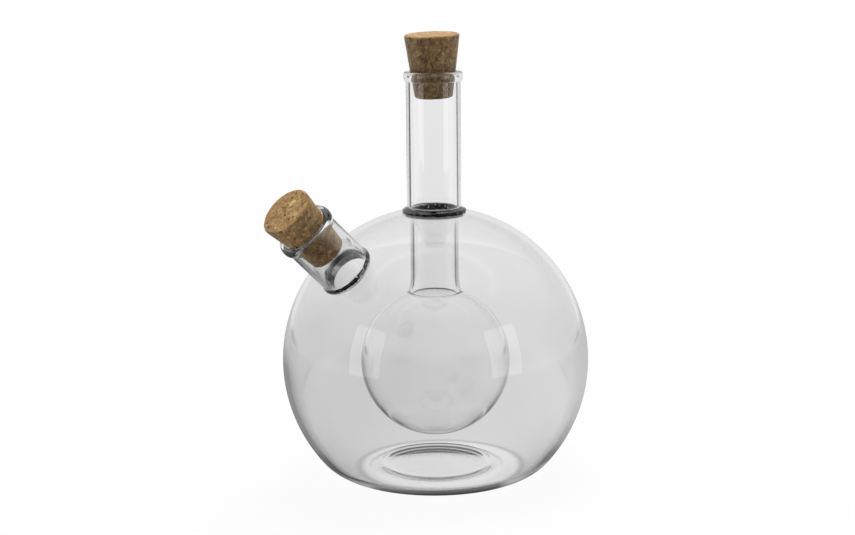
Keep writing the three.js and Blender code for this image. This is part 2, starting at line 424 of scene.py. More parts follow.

# A painted shadow on the left of that floor, by the distance from its middle in metres
SHADE_PLACE = (-0.11, 0.09, 0)
SHADE_TONES = [(0.0, 0.5), (0.06, 0.5), (0.085, 0.53), (0.114, 0.7), (0.167, 0.85), (0.21, 1.0)]

# The matt floor's tone, its share in what the camera sees, and where that fades out
FLOOR_TONE = 0.8
SHADOW_SHARE = 0.12
SHADOW_FADE = (0.08, 0.38)


# Shader nodes

def arithmetic(operation, turned=False):
    """A method of a socket that adds a Math node on it and another value."""
    def method(self, other):
        values = (other, self) if turned else (self, other)
        return self.nodes.math(operation, *values)

    return method


class Socket:
    """An output of a node. Arithmetic on it adds Math nodes."""

    def __init__(self, nodes, output):
        self.nodes = nodes
        self.output = output

    __add__ = __radd__ = arithmetic("ADD")
    __sub__ = arithmetic("SUBTRACT")
    __rsub__ = arithmetic("SUBTRACT", turned=True)
    __mul__ = arithmetic("MULTIPLY")
    __truediv__ = arithmetic("DIVIDE")

    def dimmed(self, other):
        """This colour times another."""
        return self.nodes.mix_colours(1, self, other, "MULTIPLY")


class Nodes:
    """The nodes of one material or of the world."""

    def __init__(self, tree):
        self.tree = tree
        tree.nodes.clear()

    def add(self, kind, settings=None, sockets=None, output=0):
        """Adds a node with its settings and sockets, and gives one of its outputs."""
        node = self.tree.nodes.new(kind)
        for name, value in (settings or {}).items():
            if name == "stops":
                self.fill_ramp(node.color_ramp, value)
            else:
                setattr(node, name, value)
        for name, value in (sockets or {}).items():
            self.plug(self.find(node.inputs, name), value)
        return Socket(self, self.find(node.outputs, output)) if node.outputs else node

    def plug(self, target, value):
        """Links a socket or sets a value."""
        if isinstance(value, Socket):
            self.tree.links.new(value.output, target)
        else:
            target.default_value = value

    @staticmethod
    def find(sockets, key):
        """A socket by its number, or the first one in use by its name."""
        if isinstance(key, int):
            return sockets[key]
        return next(s for s in sockets if s.name == key and not s.is_unavailable)

    @staticmethod
    def fill_ramp(ramp, stops):
        """Sets a ramp's stops from places and tones or colours."""
        while len(ramp.elements) < len(stops):
            ramp.elements.new(1)
        for element, (position, tone) in zip(ramp.elements, stops):
            element.position = position
            element.color = tone if isinstance(tone, tuple) else grey(tone)

    def math(self, operation, *values):
        """Adds a Math node on sockets and numbers."""
        return self.add("ShaderNodeMath", {"operation": operation}, dict(enumerate(values)))

    def ramp(self, factor, stops):
        """Adds a colour ramp of tones or colours."""
        return self.add("ShaderNodeValToRGB", {"stops": stops}, {"Fac": factor})

    def toned(self, value, tones):
        """A tone that follows a value through the values and tones of a list."""
        low, high = tones[0][0], tones[-1][0]
        stops = [((at - low) / (high - low), tone) for at, tone in tones]
        return self.ramp((value - low) / (high - low), stops)

    def faced(self, way, studio):
        """A direction or place turned so that the camera looks along +Y."""
        turn = {"Vector": way, "Angle": -studio.bearing}
        return self.add("ShaderNodeVectorRotate", {"rotation_type": "Z_AXIS"}, turn)

    def distance(self, first, second):
        """How far two places are apart."""
        places = {0: first, 1: second}
        return self.add("ShaderNodeVectorMath", {"operation": "DISTANCE"}, places, "Value")

    def smooth_step(self, value, low, high):
        """0 below low, 1 above high and a smooth rise between."""
        limits = {"Value": value, "From Min": low, "From Max": high}
        return self.add("ShaderNodeMapRange", {"interpolation_type": "SMOOTHSTEP"}, limits)

    def mix_colours(self, factor, first, second, blend="MIX"):
        """Mixes two colours, each a socket or a constant."""
        settings = {"data_type": "RGBA", "blend_type": blend}
        sockets = {"Factor": factor, "A": first, "B": second}
        return self.add("ShaderNodeMix", settings, sockets, "Result")

    def shaded(self, factor, tone):
        """A colour that goes from white to a tone as the factor goes from 0 to 1."""
        return self.mix_colours(factor, WHITE, grey(tone))

    def attribute(self, name):
        """A number that the mesh keeps at each point."""
        return self.add("ShaderNodeAttribute", {"attribute_name": name}, output="Fac")

    def noise(self, place, scale, detail):
        """Soft noise by place."""
        sockets = {"Vector": place, "Scale": scale, "Detail": detail}
        return self.add("ShaderNodeTexNoise", {}, sockets)

    def light_path(self, ray):
        """One output of the Light Path node."""
        return self.add("ShaderNodeLightPath", output=ray)

    def seen(self):
        """1 for what is seen, also by way of glass and gloss, and 0 for what lights a matt face."""
        rays = ("Is Camera Ray", "Is Glossy Ray", "Is Transmission Ray")
        camera, glossy, transmission = (self.light_path(ray) for ray in rays)
        shown = self.math("MAXIMUM", self.math("MAXIMUM", camera, glossy), transmission)
        return shown * (1 - self.math("MINIMUM", self.light_path("Diffuse Depth"), 1))

    def deep(self, faces):
        """1 for what has come through more than that many faces of glass."""
        return self.math("GREATER_THAN", self.light_path("Transmission Depth"), faces)

    def mirrored(self):
        """1 for what is seen by way of a reflection, on a face of the glass or inside it."""
        return self.math("MINIMUM", self.light_path("Glossy Depth"), 1)


def opaque(tint):
    """A colour with its alpha, as a socket takes it."""
    return (*tint, 1)


def grey(tone):
    """A tone as a colour."""
    return (tone, tone, tone, 1)


def new_finish(name):
    """An empty material and its nodes."""
    made = bpy.data.materials.new(name)
    made.use_nodes = True
    return made, Nodes(made.node_tree)


WAVE_SCALE = 55
# How rough the welds' painted shade is, an opaque dark metallic layer
PAINTED_SHADE_ROUGHNESS = 0.4

# How strong the waves are in each kind of glass, and the scale of their pattern on each axis
GLASS_WAVES = {
    "globe": (0.12, (1, 1, 1)),
    "bulb": (0.12, (1, 1, 1)),
    "tube": (0.04, (1, 1, 0.2)),
    "weld": (0.12, (1, 1, 1)),
}


def glass_finish(kind):
    """Hand-made glass with faint waves. Welds take painted shade, an opaque dark metallic layer
    with painted glints in it, from the mesh's own attributes.
    """
    name = f"{kind}_glass"
    found = bpy.data.materials.get(name)
    if found:
        return found
    look = bpy.context.scene.bottle_glass_finish
    waviness, streaks = GLASS_WAVES[kind]
    made, nodes = new_finish(name)
    place = nodes.add("ShaderNodeTexCoord", output="Object")
    place = nodes.add("ShaderNodeMapping", {}, {"Vector": place, "Scale": streaks})
    waves = nodes.noise(place, WAVE_SCALE, 1)
    bump = {"Strength": waviness, "Distance": look.wave_depth, "Height": waves}
    sockets = {
        "Base Color": WHITE,
        "Roughness": 0,
        "IOR": look.index,
        "Transmission Weight": 1,
        "Normal": nodes.add("ShaderNodeBump", {}, bump),
    }
    if kind == "weld":
        # Painted shade on the welds: an opaque dark metallic layer where the mesh marks it
        painted_dark = nodes.attribute("fused")
        # Painted glints: white mirror flecks in that painted shade
        glint = nodes.attribute("glint")
        shade_and_glint = nodes.mix_colours(glint, opaque(look.fused), WHITE)
        sockets["Base Color"] = nodes.mix_colours(painted_dark, WHITE, shade_and_glint)
        sockets["Metallic"] = painted_dark
        sockets["Roughness"] = painted_dark * PAINTED_SHADE_ROUGHNESS
    glass = nodes.add("ShaderNodeBsdfPrincipled", {}, sockets)
    shade = nodes.add("ShaderNodeBsdfTransparent", {}, {"Color": grey(look.passed)})
    shadow = nodes.light_path("Is Shadow Ray")
    surface = nodes.add("ShaderNodeMixShader", {}, {"Fac": shadow, 1: glass, 2: shade})
    volume = {"Color": opaque(look.tint), "Density": getattr(look, kind)}
    body = nodes.add("ShaderNodeVolumeAbsorption", {}, volume)
    nodes.add("ShaderNodeOutputMaterial", {}, {"Surface": surface, "Volume": body})
    return made


SPECKLE_SCALE = 1500
MOTTLE_SCALE = 420
SPECKLE_DEPTH = 0.15 * MM
GRAIN_SHARES = {"tone": 0.45, "speckle": 0.4, "mottle": 0.15}
GRAIN_STOPS = (0.32, 0.5, 0.7)
SPECKLE_STRENGTH = 0.5
CORK_ROUGHNESS = 0.72
PIT_ROUGHNESS = 0.2
CORK_COAT = 0.6
COAT_ROUGHNESS = 0.35


def cork_finish():
    """Pressed cork granules of mixed tones, with painted shade in their pits and seams, from the
    mesh's own attributes.
    """
    found = bpy.data.materials.get("pressed_cork")
    if found:
        return found
    look = bpy.context.scene.bottle_cork_finish
    made, nodes = new_finish("pressed_cork")
    tone = nodes.attribute("tone")
    pit = nodes.attribute("pit")
    place = nodes.add("ShaderNodeTexCoord", output="Object")
    speckle = nodes.noise(place, SPECKLE_SCALE, 3)
    mottle = nodes.noise(place, MOTTLE_SCALE, 2)
    value = tone * GRAIN_SHARES["tone"] + speckle * GRAIN_SHARES["speckle"]
    value = value + mottle * GRAIN_SHARES["mottle"]
    colours = (opaque(tint) for tint in (look.dark, look.middle, look.light))
    grain = nodes.ramp(value, list(zip(GRAIN_STOPS, colours)))
    shade = nodes.mix_colours(pit, grain, opaque(look.pit))
    bump = {"Strength": SPECKLE_STRENGTH, "Distance": SPECKLE_DEPTH, "Height": speckle}
    normal = nodes.add("ShaderNodeBump", {}, bump)
    sockets = {
        "Base Color": shade,
        "Roughness": CORK_ROUGHNESS + pit * PIT_ROUGHNESS,
        "Coat Weight": CORK_COAT,
        "Coat Roughness": COAT_ROUGHNESS,
        "Normal": normal,
    }
    surface = nodes.add("ShaderNodeBsdfPrincipled", {}, sockets)
    nodes.add("ShaderNodeOutputMaterial", {}, {"Surface": surface})
    return made


def parts(nodes, way, studio):
    """How far a direction or place is across, ahead and up, as the camera looks."""
    sockets = {"Vector": nodes.faced(way, studio)}
    return [nodes.add("ShaderNodeSeparateXYZ", {}, sockets, axis) for axis in "XYZ"]


def bearing(nodes, across, ahead):
    """How far round that is from behind the camera, by its left, as a share of a turn."""
    return nodes.math("ARCTAN2", across, ahead) / math.tau + 0.5


def room(nodes, way, studio):
    """How bright the room is in a reflection: pale behind the bottle and overhead, dim in front."""
    across, ahead, up = parts(nodes, way, studio)
    turn = bearing(nodes, across, ahead)
    height = up - nodes.math("MAXIMUM", ahead, 0) * CEILING_LIFT
    overhead = nodes.smooth_step(height, *CEILING_START)
    shown = nodes.ramp(turn, ROOM_TONES)
    shown = nodes.mix_colours(overhead, shown, grey(CEILING_TONE))
    above = nodes.smooth_step(up, *GAP_END)
    gaps = nodes.mix_colours(above, nodes.ramp(turn, GAP_TONES), WHITE)
    return shown.dimmed(gaps).dimmed(nodes.shaded(nodes.deep(BULB_FACES), INNER_TONE))


def mirrored_floor(nodes, place, reach, turn):
    """How bright the floor is in a reflection: painted shade after the room's tones, dark under the
    foot, round the heel and on the left.
    """
    foot = nodes.ramp(turn, FOOT_TONES)
    edge = nodes.smooth_step(reach, *FOOT_EDGE)
    foot = nodes.mix_colours(edge, foot, grey(FOOT_EDGE_TONE))
    beyond = nodes.smooth_step(reach, *FOOT_END)
    shown = nodes.mix_colours(beyond, foot, nodes.ramp(turn, ROOM_TONES))
    gapped = nodes.deep(TUBE_FACES) * nodes.smooth_step(reach, *FLOOR_GAP_START)
    shown = shown.dimmed(nodes.mix_colours(gapped, WHITE, nodes.ramp(turn, GAP_TONES)))
    shown = shown.dimmed(nodes.shaded(nodes.deep(BULB_FACES), INNER_TONE))
    shown = shown.dimmed(nodes.toned(reach, MIRRORED_FLOOR_TONES))
    return shown.dimmed(nodes.toned(nodes.distance(place, SHADE_PLACE), SHADE_TONES))


def floor_finish(studio):
    """A pale floor that holds the bottle's shadow and fades into the white room at its rim. Glass
    shows painted shade and shadow on it.
    """
    made, nodes = new_finish("pale_floor")
    place = nodes.add("ShaderNodeTexCoord", output="Object")
    reach = nodes.distance(place, FOOT_PLACE)
    across, ahead, _ = parts(nodes, place, studio)
    mirrored = mirrored_floor(nodes, place, reach, bearing(nodes, across, ahead))
    far = nodes.smooth_step(reach, *SIDE_FADE)
    side = nodes.mix_colours(far, nodes.toned(across, SIDE_TONES), WHITE)
    # Painted shade and shadow on the floor, as seen through glass
    through = nodes.toned(reach, FLOOR_TONES).dimmed(side)
    shown = nodes.mix_colours(nodes.mirrored(), through, mirrored)
    camera = nodes.light_path("Is Camera Ray")
    shown = nodes.mix_colours(camera, shown, WHITE)
    matt = nodes.add("ShaderNodeBsdfDiffuse", {}, {"Color": grey(FLOOR_TONE)})
    glow = nodes.add("ShaderNodeEmission", {}, {"Color": shown, "Strength": 1})
    near = 1 - nodes.smooth_step(reach, *SHADOW_FADE)
    lit = nodes.seen() * (1 - camera * SHADOW_SHARE * near)
    faded = nodes.add("ShaderNodeMixShader", {}, {"Fac": lit, 1: matt, 2: glow})
    nodes.add("ShaderNodeOutputMaterial", {}, {"Surface": faded})
    return made


def studio_world(studio):
    """A white room all round, with darker gaps and a dim front that only reflections show."""
    world = bpy.data.worlds.new("studio")
    world.use_nodes = True
    nodes = Nodes(world.node_tree)
    way = nodes.add("ShaderNodeTexCoord", output="Generated")
    up = nodes.add("ShaderNodeSeparateXYZ", {}, {"Vector": way}, "Z")
    backdrop = nodes.toned(up, BACKDROP_TONES)
    shown = nodes.mix_colours(nodes.mirrored(), backdrop, room(nodes, way, studio))
    shown = nodes.mix_colours(nodes.light_path("Is Camera Ray"), shown, WHITE)
    tint = nodes.mix_colours(nodes.seen(), grey(studio.ambient), shown)
    background = nodes.add("ShaderNodeBackground", {}, {"Color": tint, "Strength": 1})
    nodes.add("ShaderNodeOutputWorld", {}, {"Surface": background})
    return world


# Pieces of the bottle

GLOBE_SEGMENTS = 192
TUBE_SEGMENTS = 128
SPHERE_STEPS = 72
HEEL_STEPS = 18
CURVE_STEPS = 20
ROUND_STEPS = 8
WELD_STEP = 0.15 * MM
WELD_SEGMENTS = 384
DOME_POWER = 2.5
SPOUT_SIDE = 0.5


def globe_side(globe, plan, hole, depth):
    """The globe's side and heel from its neck hole to the foot, at a depth in its glass."""
    radius = globe.radius - depth
    centre = point(0, 0)
    heel = point(plan.foot, globe.heel - globe.centre)
    top = math.acos(hole / radius)
    junction = math.atan2(heel.y, heel.x)
    side = arc(centre, radius, top, junction, SPHERE_STEPS)
    return side + arc(heel, globe.heel - depth, junction, -QUARTER, HEEL_STEPS)[1:]


def base_face(edge, width, height, crown, floor):
    """One face of the base from the foot ring in to the axis: a step up, then a shallow dome."""
    shares = [i / CURVE_STEPS for i in range(CURVE_STEPS + 1)]
    rises = [height * (1 - math.cos(math.pi * t)) / 2 for t in shares]
    step = [point(edge - width * t, floor + up) for t, up in zip(shares, rises)]
    rim = step[-1]
    inward = [1 - t for t in shares[1:]]
    return step + [point(rim.x * t, rim.y + crown * (1 - t**DOME_POWER)) for t in inward]


def punt(globe, plan):
    """The hollow under the base."""
    edge = plan.foot - globe.foot_width
    return base_face(edge, globe.punt_width, globe.punt_height, globe.punt_crown, -globe.centre)


def bed(globe, plan):
    """The base's inside. It is flatter than the hollow, so the base thins towards its middle."""
    edge = plan.foot - globe.foot_width - globe.bed_inset
    floor = globe.wall - globe.centre
    return base_face(edge, globe.bed_width, globe.bed_height, globe.bed_crown, floor)


def cut_round_hole(bm, skin, axis, radius, hole):
    """Cuts a round hole about an axis through one skin of a globe of that radius."""
    near = [f for f in skin if f.calc_center_median().normalized().dot(axis) > SPOUT_SIDE]
    edges = {e for f in near for e in f.edges}
    corners = {v for f in near for v in f.verts}
    bmesh.ops.bisect_plane(
        bm,
        geom=[*near, *edges, *corners],
        plane_co=axis * sphere_height(radius, hole),
        plane_no=axis,
        clear_outer=True,
    )


def draw_out(bm, rim, profile, turn):
    """Extrudes a round rim along a profile about a turned axis and gives the last rim."""
    for start, end in zip(profile, profile[1:]):
        made = bmesh.ops.extrude_edge_only(bm, edges=rim)["geom"]
        rim = [g for g in made if isinstance(g, bmesh.types.BMEdge) and g.is_boundary]
        spread = Matrix.Diagonal((end.x / start.x, end.x / start.x, 1, 1))
        lift = Matrix.Translation((0, 0, end.y)) @ spread @ Matrix.Translation((0, 0, -start.y))
        corners = [g for g in made if isinstance(g, bmesh.types.BMVert)]
        bmesh.ops.transform(bm, matrix=turn @ lift @ turn.inverted(), verts=corners)
    return rim


def open_spout(bm, scene, plan):
    """Opens the spout's hole in the globe and draws the outer skin up to it in a smooth sleeve."""
    globe, tube = scene.bottle_globe, scene.bottle_tube
    middle = globe.radius - globe.wall / 2
    outer = [f for f in bm.faces if f.calc_center_median().length > middle]
    inner = [f for f in bm.faces if f.calc_center_median().length <= middle]
    cut_round_hole(bm, outer, plan.spout_axis, globe.radius, tube.sleeve)
    cut_round_hole(bm, inner, plan.spout_axis, plan.cavity, plan.sleeve_bore)
    rims = [e for e in bm.edges if e.is_boundary]
    rim = [e for e in rims if e.verts[0].co.length > middle]
    foot = point(tube.sleeve, sphere_height(globe.radius, tube.sleeve))
    edge = point(plan.sleeve_bore + tube.sleeve_edge, plan.collar_top)
    slope = foot.x / foot.y
    bend = point(edge.x, foot.y + (foot.x - edge.x) * slope)
    profile = [*curve(foot, bend, edge, CURVE_STEPS), point(plan.sleeve_bore, plan.collar_top)]
    last = draw_out(bm, rim, profile, plan.spout_turn)
    bmesh.ops.bridge_loops(bm, edges=[*last, *(e for e in rims if e.is_valid and e.is_boundary)])
    bmesh.ops.recalc_face_normals(bm, faces=bm.faces)


class BOTTLE_OT_globe(Operator):
    """Add the outer globe with its pushed-up base and its two holes"""

    bl_idname = "bottle.add_globe"
    bl_label = "Globe"

    def execute(self, context):
        scene = context.scene
        globe = scene.bottle_globe
        hole = scene.bottle_tube.hole
        plan = layout(scene)
        outer = globe_side(globe, plan, hole, 0) + punt(globe, plan)
        inner = globe_side(globe, plan, hole, globe.wall) + bed(globe, plan)
        bm = spun(outer[::-1] + inner, GLOBE_SEGMENTS)
        open_spout(bm, scene, plan)
        add_piece("globe", bm, plan.neck, glass_finish("globe"), "glass", "outer_globe")
        return {"FINISHED"}


class BOTTLE_OT_bulb(Operator):
    """Add the bulb inside the globe and the stem that it hangs on"""

    bl_idname = "bottle.add_bulb"
    bl_label = "Bulb and stem"

    def execute(self, context):
        scene = context.scene
        bulb = scene.bottle_bulb
        plan = layout(scene)
        centre = point(0, -bulb.drop)
        cavity = bulb.radius - bulb.wall
        rim = math.acos((bulb.stem_radius + bulb.flare) / bulb.radius)
        mouth = math.acos((plan.stem_bore + bulb.flare) / cavity)
        outer = arc(centre, bulb.radius, -QUARTER, rim, SPHERE_STEPS)
        inner = arc(centre, cavity, mouth, -QUARTER, SPHERE_STEPS)
        lip = point(plan.stem_bore + bulb.flare, plan.bulb_rim)
        bm = spun([*outer, lip, *inner], GLOBE_SEGMENTS)
        add_piece("bulb", bm, plan.neck, glass_finish("bulb"), "glass", "inner_bulb")
        bottom = plan.bulb_rim - scene.bottle_tube.overlap
        top = plan.collar_bottom + scene.bottle_tube.overlap
        profile = [
            *self.flare(bulb, bulb.stem_radius, bottom),
            point(bulb.stem_radius, top),
            point(plan.stem_bore, top),
            *self.flare(bulb, plan.stem_bore, bottom)[::-1],
        ]
        bm = spun(profile, TUBE_SEGMENTS, ring=True)
        add_piece("stem", bm, plan.neck, glass_finish("bulb"), "glass", "inner_stem")
        return {"FINISHED"}

    @staticmethod
    def flare(bulb, radius, bottom):
        """One face of the stem's spread end, from the bulb's rim up to the straight tube."""
        spread = point(radius + bulb.flare, bottom)
        waist = point(radius, bottom + bulb.flare_length / 2)
        return curve(spread, waist, point(radius, bottom + bulb.flare_length), CURVE_STEPS)


class BOTTLE_OT_tubes(Operator):
    """Add the neck and the spout with their rolled lips"""

    bl_idname = "bottle.add_tubes"
    bl_label = "Neck and spout"

    def execute(self, context):
        plan = layout(context.scene)
        tube = context.scene.bottle_tube
        tubes = (("neck", plan.neck_rim, plan.neck), ("spout", plan.spout_rim, plan.spout))
        for name, rim, place in tubes:
            bm = self.lipped_tube(tube, plan, rim)
            add_piece(name, bm, place, glass_finish("tube"), "glass", f"{name}_tube")
        return {"FINISHED"}

    @staticmethod
    def lipped_tube(tube, plan, rim):
        """A tube from its collar up to its rim, with a rolled lip."""
        bottom = plan.collar_top - tube.overlap
        half = tube.lip_height / 2
        middle = point(tube.radius, rim - half)
        mouth = point(plan.bore + tube.mouth_round, rim - tube.mouth_round)
        profile = [
            point(plan.bore, bottom),
            point(tube.radius, bottom),
            *ellipse(middle, tube.lip_standout, half, -QUARTER, QUARTER, 2 * ROUND_STEPS),
            *arc(mouth, tube.mouth_round, QUARTER, math.pi, ROUND_STEPS),
        ]
        return spun(profile, TUBE_SEGMENTS, ring=True)


# The neck's weld has painted shade below a line: its slant, its depth under the collar's top and
# its blur
LINE_SLANT = 0.04
LINE_OUTSIDE = 1.1 * MM
LINE_INSIDE = 0.3 * MM
LINE_BLUR = 0.15 * MM

# Threads of painted shade round the neck's weld: how often they vary round it, how high, and from
# which noise on
THREAD_TURNS = 2.2
THREAD_HEIGHT = 0.3 * MM
THREAD_SLOPE = 40
THREAD_LEVEL = 0.25
THREAD_BLUR = 0.12

# Painted glints in bright flecks on both welds, in the same way
FLECK_TURNS = 8
FLECK_HEIGHT = 0.26 * MM
FLECK_LEVEL = 0.42
FLECK_BLUR = 0.12
FLECK_SHARE = 0.5

# Cloudy painted shade on the far side of the spout's throat, thinner at its middle, up to an end
THROAT_FAR_SIDE = Vector((-0.46, 0.89))
THROAT_CHAMFER = 1.2 * MM
FAR_SHADE_SHARE = 0.9
FAR_SHADE_START = 0.1
FAR_SHADE_GROWTH = 1.5
FAR_SHADE_MIDDLE = 0.7
FAR_SHADE_MIDDLE_BLUR = 0.25
FAR_SHADE_THINNING = 0.35
CLOUD_SHARE = 0.9
CLOUD_DEPTH = 0.4
CLOUD_SIZE = 2.5 * MM
FAR_SHADE_END = 1 * MM
FAR_SHADE_BLUR = 0.3 * MM

# The ragged line of painted shade on its near side: its depth under the globe's sphere, half its
# width and its waves
RAGGED_DROP = 0.3 * MM
RAGGED_WIDTH = 1.5 * MM
RAGGED_EDGE = 3
RAGGED_WAVES = ((0.9, 0.9 * MM), (0.7, 0.35 * MM))

# What breaks leave of that line, and the specks of painted shade beside it: size, level and blur of
# their noise
KEPT = (0.7 * MM, -0.5, 0.2)
SPECKS = (0.4 * MM, 0.4, 0.1)


class BOTTLE_OT_welds(Operator):
    """Add the two thick collars that weld the neck and the spout to the globe"""

    bl_idname = "bottle.add_welds"
    bl_label = "Weld collars"

    def execute(self, context):
        plan = layout(context.scene)
        glass = glass_finish("weld")
        neck = self.collar(context.scene, plan)
        add_piece("neck_weld", neck, plan.neck, glass, "glass", "neck_ring_seal")
        spout = self.throat(context.scene, plan)
        add_piece("spout_weld", spout, plan.spout, glass, "glass", "spout_ring_seal")
        return {"FINISHED"}

    @classmethod
    def collar(cls, scene, plan):
        """The neck's collar: a cone on the globe with painted shade, and a spigot through its hole.
        """
        tube = scene.bottle_tube
        seat = scene.bottle_globe.radius - tube.overlap
        reach = tube.radius + tube.collar_flare
        edge = sphere_height(seat, reach)
        brim = edge + tube.collar_lip
        profile = [
            point(plan.stem_bore, plan.collar_bottom),
            point(plan.spigot, plan.collar_bottom),
            point(plan.spigot, sphere_height(seat, plan.spigot)),
            point(reach, edge),
            point(reach, brim),
            point(tube.radius, plan.collar_top),
            point(plan.bore, plan.collar_top),
            point(plan.stem_bore, plan.collar_bottom),
        ]
        bm = spun(fine(profile, WELD_STEP)[:-1], WELD_SEGMENTS, ring=True)
        rounded(bm, reach, brim, tube.collar_round, ROUND_STEPS)

        def painted_dark(spot):
            """Painted shade below a tilted line, lower outside than inside, with threads of painted
            shade above it.
            """
            drop = LINE_OUTSIDE if spot.xy.length > plan.bore else LINE_INSIDE
            line = plan.collar_top + LINE_SLANT * spot.x - drop
            solid = rise((line - spot.z) / LINE_BLUR)
            return max(solid, cls.threads(spot))

        cls.paint_shade(bm, painted_dark)
        return bm

    @classmethod
    def throat(cls, scene, plan):
        """The spout's collar: a ring inside the sleeve that narrows the bore."""
        tube = scene.bottle_tube
        bottom, top = plan.collar_bottom, plan.collar_top
        shoulder = point(plan.bore, bottom + tube.throat_height)
        corner = point(tube.throat + tube.throat_round, bottom + tube.throat_round)
        lower = arc(corner, tube.throat_round, math.pi, math.pi + QUARTER, ROUND_STEPS)
        bend = shoulder.lerp(point(plan.bore, lower[0].y), 0.5)
        flush = sphere_height(plan.cavity, plan.sleeve_bore)
        chamfer = point(tube.radius - THROAT_CHAMFER, flush)
        profile = [
            point(plan.bore, top),
            *curve(shoulder, bend, lower[0], ROUND_STEPS),
            *curve(lower[-1], chamfer, point(tube.radius, flush), ROUND_STEPS),
            point(tube.radius, top),
            point(plan.bore, top),
        ]
        bm = spun(fine(profile, WELD_STEP)[:-1], WELD_SEGMENTS, ring=True)
        seat = scene.bottle_globe.radius - RAGGED_DROP
        far_shade_top = shoulder.y + FAR_SHADE_END

        def painted_dark(spot):
            """Cloudy painted shade inside on the far half, with a ragged black line of painted
            shade outside on the near half.
            """
            far = spot.xy.normalized().dot(THROAT_FAR_SIDE)
            if spot.xy.length < tube.radius - MERGE_DISTANCE:
                return cls.far_shade(spot, far) * rise((far_shade_top - spot.z) / FAR_SHADE_BLUR)
            ragged = MM * sum(high * noise.noise(spot / size) for high, size in RAGGED_WAVES)
            away = abs(spot.z - seat - ragged) / RAGGED_WIDTH
            line = rise(RAGGED_EDGE * (1 - away)) * cls.patches(spot, *KEPT)
            return max(line, cls.patches(spot, *SPECKS)) * rise(1 - 2 * far)

        cls.paint_shade(bm, painted_dark)
        return bm

    @staticmethod
    def far_shade(spot, far):
        """Cloudy painted shade that grows towards the far side and thins out again at its middle.
        """
        thin = FAR_SHADE_THINNING * rise((far - FAR_SHADE_MIDDLE) / FAR_SHADE_MIDDLE_BLUR)
        cloud = CLOUD_SHARE + CLOUD_DEPTH * noise.noise(spot / CLOUD_SIZE)
        return rise(FAR_SHADE_SHARE * rise(FAR_SHADE_START + FAR_SHADE_GROWTH * far) * (1 - thin) * cloud)

    @staticmethod
    def patches(spot, size, level, blur):
        """1 where noise of that size is above a level, and 0 elsewhere."""
        return rise((noise.noise(spot / size) - level) / blur)

    @staticmethod
    def threads(spot):
        """1 in the threads of painted shade that run round a ring of welded glass, and 0 elsewhere.
        """
        way = spot.xy.normalized() * THREAD_TURNS
        height = spot.z / THREAD_HEIGHT + THREAD_SLOPE * spot.xy.length
        thread = noise.noise(Vector((way.x, way.y, height)))
        return rise((thread - THREAD_LEVEL) / THREAD_BLUR)

    @staticmethod
    def sparkle(spot):
        """How bright a point of the welds is, in the small flecks of painted glints that break up
        their painted shade.
        """
        way = spot.xy.normalized() * FLECK_TURNS
        fleck = noise.noise(Vector((way.x, way.y, spot.z / FLECK_HEIGHT)))
        return FLECK_SHARE * rise((fleck - FLECK_LEVEL) / FLECK_BLUR)

    @classmethod
    def paint_shade(cls, bm, painted_dark):
        """Keeps on the mesh each point's painted shade and its painted glints."""
        fused = bm.verts.layers.float.new("fused")
        glint = bm.verts.layers.float.new("glint")
        for vertex in bm.verts:
            vertex[fused] = painted_dark(vertex.co)
            vertex[glint] = cls.sparkle(vertex.co)


# Pressed granules, in their own size: how crooked they are and how wide their seams and pits are
GRANULE_WARP = 0.25
GRANULE_WARP_SCALE = 1.7
SEAM_WIDTH = 0.16
PIT_WIDTH = 0.38
CRUMB_SCALE = 5

# The seed of the noise that bends granules, which without one is drawn anew in every run
WARP_SEED = 1

# What each granule draws its tone and its loss from
TONE_DRAW = 5.3
LOSS_DRAW = 3.1
LOSS_OFFSET = Vector((7, 3, 5))
LOSS_LEVEL = 0.38

# How much seams and crumbs sink or lift the face, next to tones, and how much painted shade they
# get, next to pits
SEAM_DEPTH = 0.6
CRUMB_DEPTH = 0.35
SEAM_SHADE = 0.45
PIT_SHADE = 1.1

# The pale chip in the top of the spout's cork
CHIP_PLACE = Vector((3.75, 2.5)) * MM
CHIP_WAY = Vector((0.894, 0.447))
CHIP_TONE = 1.5


